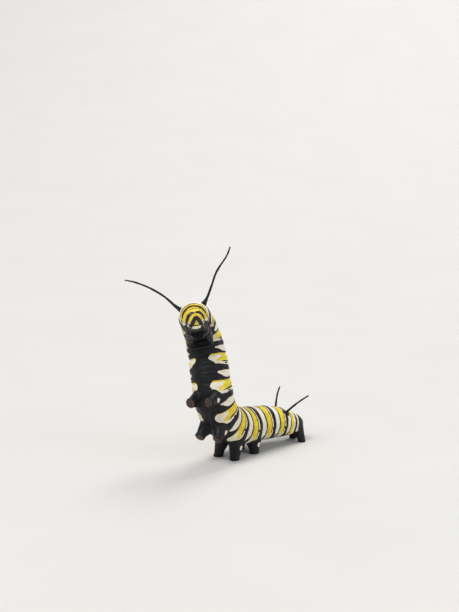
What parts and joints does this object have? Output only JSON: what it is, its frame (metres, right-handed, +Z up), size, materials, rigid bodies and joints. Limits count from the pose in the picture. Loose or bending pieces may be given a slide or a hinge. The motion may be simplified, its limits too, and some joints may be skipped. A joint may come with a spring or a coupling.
{
  "type": "monarch larva",
  "caption": "Life-size still model of a full-grown monarch butterfly larva, reared up on its hind prolegs with long black tentacles.",
  "frame": {"origin": "middle of the bounding box at the height of the floor that the soles stand on", "axes": "+Z up, the face looks along -Y, the hind body runs back towards +X and +Y, the animal's left is towards +X at its head"},
  "size_m": [0.0332, 0.0248, 0.0386],
  "materials": {
    "banded_skin": "soft satin skin in yellow, black and white bands",
    "proleg_skin": "soft satin black skin with white spots",
    "tentacle_skin": "matt black skin",
    "head_shell": "smooth glossy shell in black and yellow arches",
    "leg_horn": "glossy black horn",
    "antenna_horn": "glossy black horn with pale joints"
  },
  "bodies": {
    "root": {"head": "head_shell", "antenna_left": "antenna_horn", "antenna_right": "antenna_horn", "thorax_1": "banded_skin", "thorax_2": "banded_skin", "thorax_3": "banded_skin", "abdomen_1": "banded_skin", "abdomen_2": "banded_skin", "abdomen_3": "banded_skin", "abdomen_4": "banded_skin", "abdomen_5": "banded_skin", "abdomen_6": "banded_skin", "abdomen_7": "banded_skin", "abdomen_8": "banded_skin", "abdomen_9": "banded_skin", "abdomen_10": "banded_skin", "tentacle_front_left": "tentacle_skin", "tentacle_front_right": "tentacle_skin", "tentacle_rear_left": "tentacle_skin", "tentacle_rear_right": "tentacle_skin", "leg_1_left": "leg_horn", "leg_1_right": "leg_horn", "leg_2_left": "leg_horn", "leg_2_right": "leg_horn", "leg_3_left": "leg_horn", "leg_3_right": "leg_horn", "proleg_3_left": "proleg_skin", "proleg_3_right": "proleg_skin", "proleg_4_left": "proleg_skin", "proleg_4_right": "proleg_skin", "proleg_5_left": "proleg_skin", "proleg_5_right": "proleg_skin", "proleg_6_left": "proleg_skin", "proleg_6_right": "proleg_skin", "proleg_anal_left": "proleg_skin", "proleg_anal_right": "proleg_skin"}
  },
  "joints": []
}
